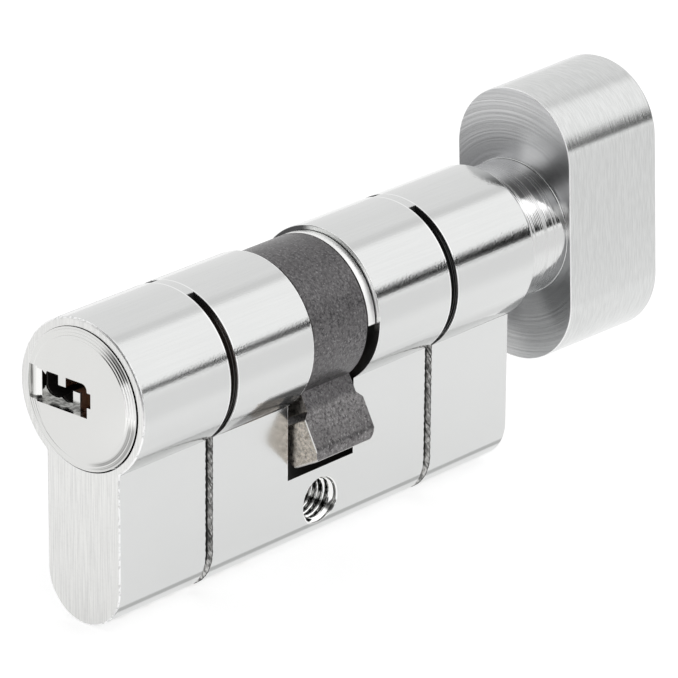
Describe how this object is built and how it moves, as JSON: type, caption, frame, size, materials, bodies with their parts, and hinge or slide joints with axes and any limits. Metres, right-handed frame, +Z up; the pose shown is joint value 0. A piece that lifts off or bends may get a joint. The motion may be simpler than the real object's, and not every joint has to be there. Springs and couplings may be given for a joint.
{
  "type": "euro profile cylinder",
  "caption": "Euro profile lock cylinder: keyed plug at the front, thumbturn knob at the back and a turning cam between them, in a satin nickel housing.",
  "frame": {"origin": "centre of the hole for the fixing screw, in the middle of the web under the cam", "axes": "+Y along the plug axis from the key side to the thumbturn, +X along the fixing screw, +Z up from the web to the round head"},
  "size_m": [0.0171, 0.0813, 0.0401],
  "materials": {
    "housing_nickel": "satin nickel plate on brass",
    "plug_nickel": "fine turned nickel plate on brass",
    "knob_nickel": "brushed nickel plate on brass",
    "sintered_steel": "dark grainy sintered steel",
    "brass": "turned brass",
    "hardened_steel": "hardened steel",
    "spring_steel": "bright spring steel"
  },
  "bodies": {
    "housing": {"housing": "housing_nickel", "pin_spring_1": "spring_steel", "pin_spring_2": "spring_steel", "pin_spring_3": "spring_steel", "pin_spring_4": "spring_steel", "pin_spring_5": "spring_steel", "pin_spring_6": "spring_steel", "chamber_plug_1": "brass", "chamber_plug_2": "brass", "chamber_plug_3": "brass", "chamber_plug_4": "brass", "chamber_plug_5": "brass", "chamber_plug_6": "brass"},
    "key_plug": {"key_plug": "plug_nickel", "key_plug_circlip": "spring_steel"},
    "key_pin_1": {"key_pin_1": "brass"},
    "key_pin_2": {"key_pin_2": "brass"},
    "key_pin_3": {"key_pin_3": "brass"},
    "key_pin_4": {"key_pin_4": "brass"},
    "key_pin_5": {"key_pin_5": "brass"},
    "key_pin_6": {"key_pin_6": "brass"},
    "driver_pin_1": {"driver_pin_1": "hardened_steel"},
    "driver_pin_2": {"driver_pin_2": "hardened_steel"},
    "driver_pin_3": {"driver_pin_3": "hardened_steel"},
    "driver_pin_4": {"driver_pin_4": "hardened_steel"},
    "driver_pin_5": {"driver_pin_5": "hardened_steel"},
    "driver_pin_6": {"driver_pin_6": "hardened_steel"},
    "clutch": {"clutch": "hardened_steel"},
    "cam": {"cam": "sintered_steel"},
    "thumbturn": {"thumbturn_core": "housing_nickel", "knob": "knob_nickel", "knob_set_screw": "hardened_steel", "thumbturn_circlip": "spring_steel", "clutch_spring": "spring_steel"}
  },
  "joints": [
    {"name": "key_plug_turn", "type": "hinge", "parent": "housing", "child": "key_plug", "pos_m": [0, -0.0175, 0.0191], "axis": [0, 1, 0], "continuous": true},
    {"name": "thumbturn_turn", "type": "hinge", "parent": "housing", "child": "thumbturn", "pos_m": [0, 0.0175, 0.0191], "axis": [0, 1, 0], "continuous": true},
    {"name": "cam_turn", "type": "hinge", "parent": "housing", "child": "cam", "pos_m": [0, 0, 0.0191], "axis": [0, 1, 0], "continuous": true},
    {"name": "clutch_slide", "type": "slide", "parent": "key_plug", "child": "clutch", "axis": [0, 1, 0], "range_m": [0, 0.0018], "stiffness_N_per_m": 150, "springref_m": -0.003, "deforming": ["clutch_spring"]},
    {"name": "key_pin_1_lift", "type": "slide", "parent": "key_plug", "child": "key_pin_1", "axis": [0, 0, 1], "range_m": [0, 0.001]},
    {"name": "key_pin_2_lift", "type": "slide", "parent": "key_plug", "child": "key_pin_2", "axis": [0, 0, 1], "range_m": [0, 0.001]},
    {"name": "key_pin_3_lift", "type": "slide", "parent": "key_plug", "child": "key_pin_3", "axis": [0, 0, 1], "range_m": [0, 0.001]},
    {"name": "key_pin_4_lift", "type": "slide", "parent": "key_plug", "child": "key_pin_4", "axis": [0, 0, 1], "range_m": [0, 0.001]},
    {"name": "key_pin_5_lift", "type": "slide", "parent": "key_plug", "child": "key_pin_5", "axis": [0, 0, 1], "range_m": [0, 0.001]},
    {"name": "key_pin_6_lift", "type": "slide", "parent": "key_plug", "child": "key_pin_6", "axis": [0, 0, 1], "range_m": [0, 0.001]},
    {"name": "driver_pin_1_drop", "type": "slide", "parent": "housing", "child": "driver_pin_1", "axis": [0, 0, -1], "range_m": [0, 0.0015], "stiffness_N_per_m": 100, "springref_m": -0.004, "deforming": ["pin_spring_1"]},
    {"name": "driver_pin_2_drop", "type": "slide", "parent": "housing", "child": "driver_pin_2", "axis": [0, 0, -1], "range_m": [0, 0.0015], "stiffness_N_per_m": 100, "springref_m": -0.004, "deforming": ["pin_spring_2"]},
    {"name": "driver_pin_3_drop", "type": "slide", "parent": "housing", "child": "driver_pin_3", "axis": [0, 0, -1], "range_m": [0, 0.0015], "stiffness_N_per_m": 100, "springref_m": -0.004, "deforming": ["pin_spring_3"]},
    {"name": "driver_pin_4_drop", "type": "slide", "parent": "housing", "child": "driver_pin_4", "axis": [0, 0, -1], "range_m": [0, 0.0015], "stiffness_N_per_m": 100, "springref_m": -0.004, "deforming": ["pin_spring_4"]},
    {"name": "driver_pin_5_drop", "type": "slide", "parent": "housing", "child": "driver_pin_5", "axis": [0, 0, -1], "range_m": [0, 0.0015], "stiffness_N_per_m": 100, "springref_m": -0.004, "deforming": ["pin_spring_5"]},
    {"name": "driver_pin_6_drop", "type": "slide", "parent": "housing", "child": "driver_pin_6", "axis": [0, 0, -1], "range_m": [0, 0.0015], "stiffness_N_per_m": 100, "springref_m": -0.004, "deforming": ["pin_spring_6"]}
  ],
  "couplings": [
    {"joint": "cam_turn", "follows": "thumbturn_turn", "ratio": 1}
  ]
}
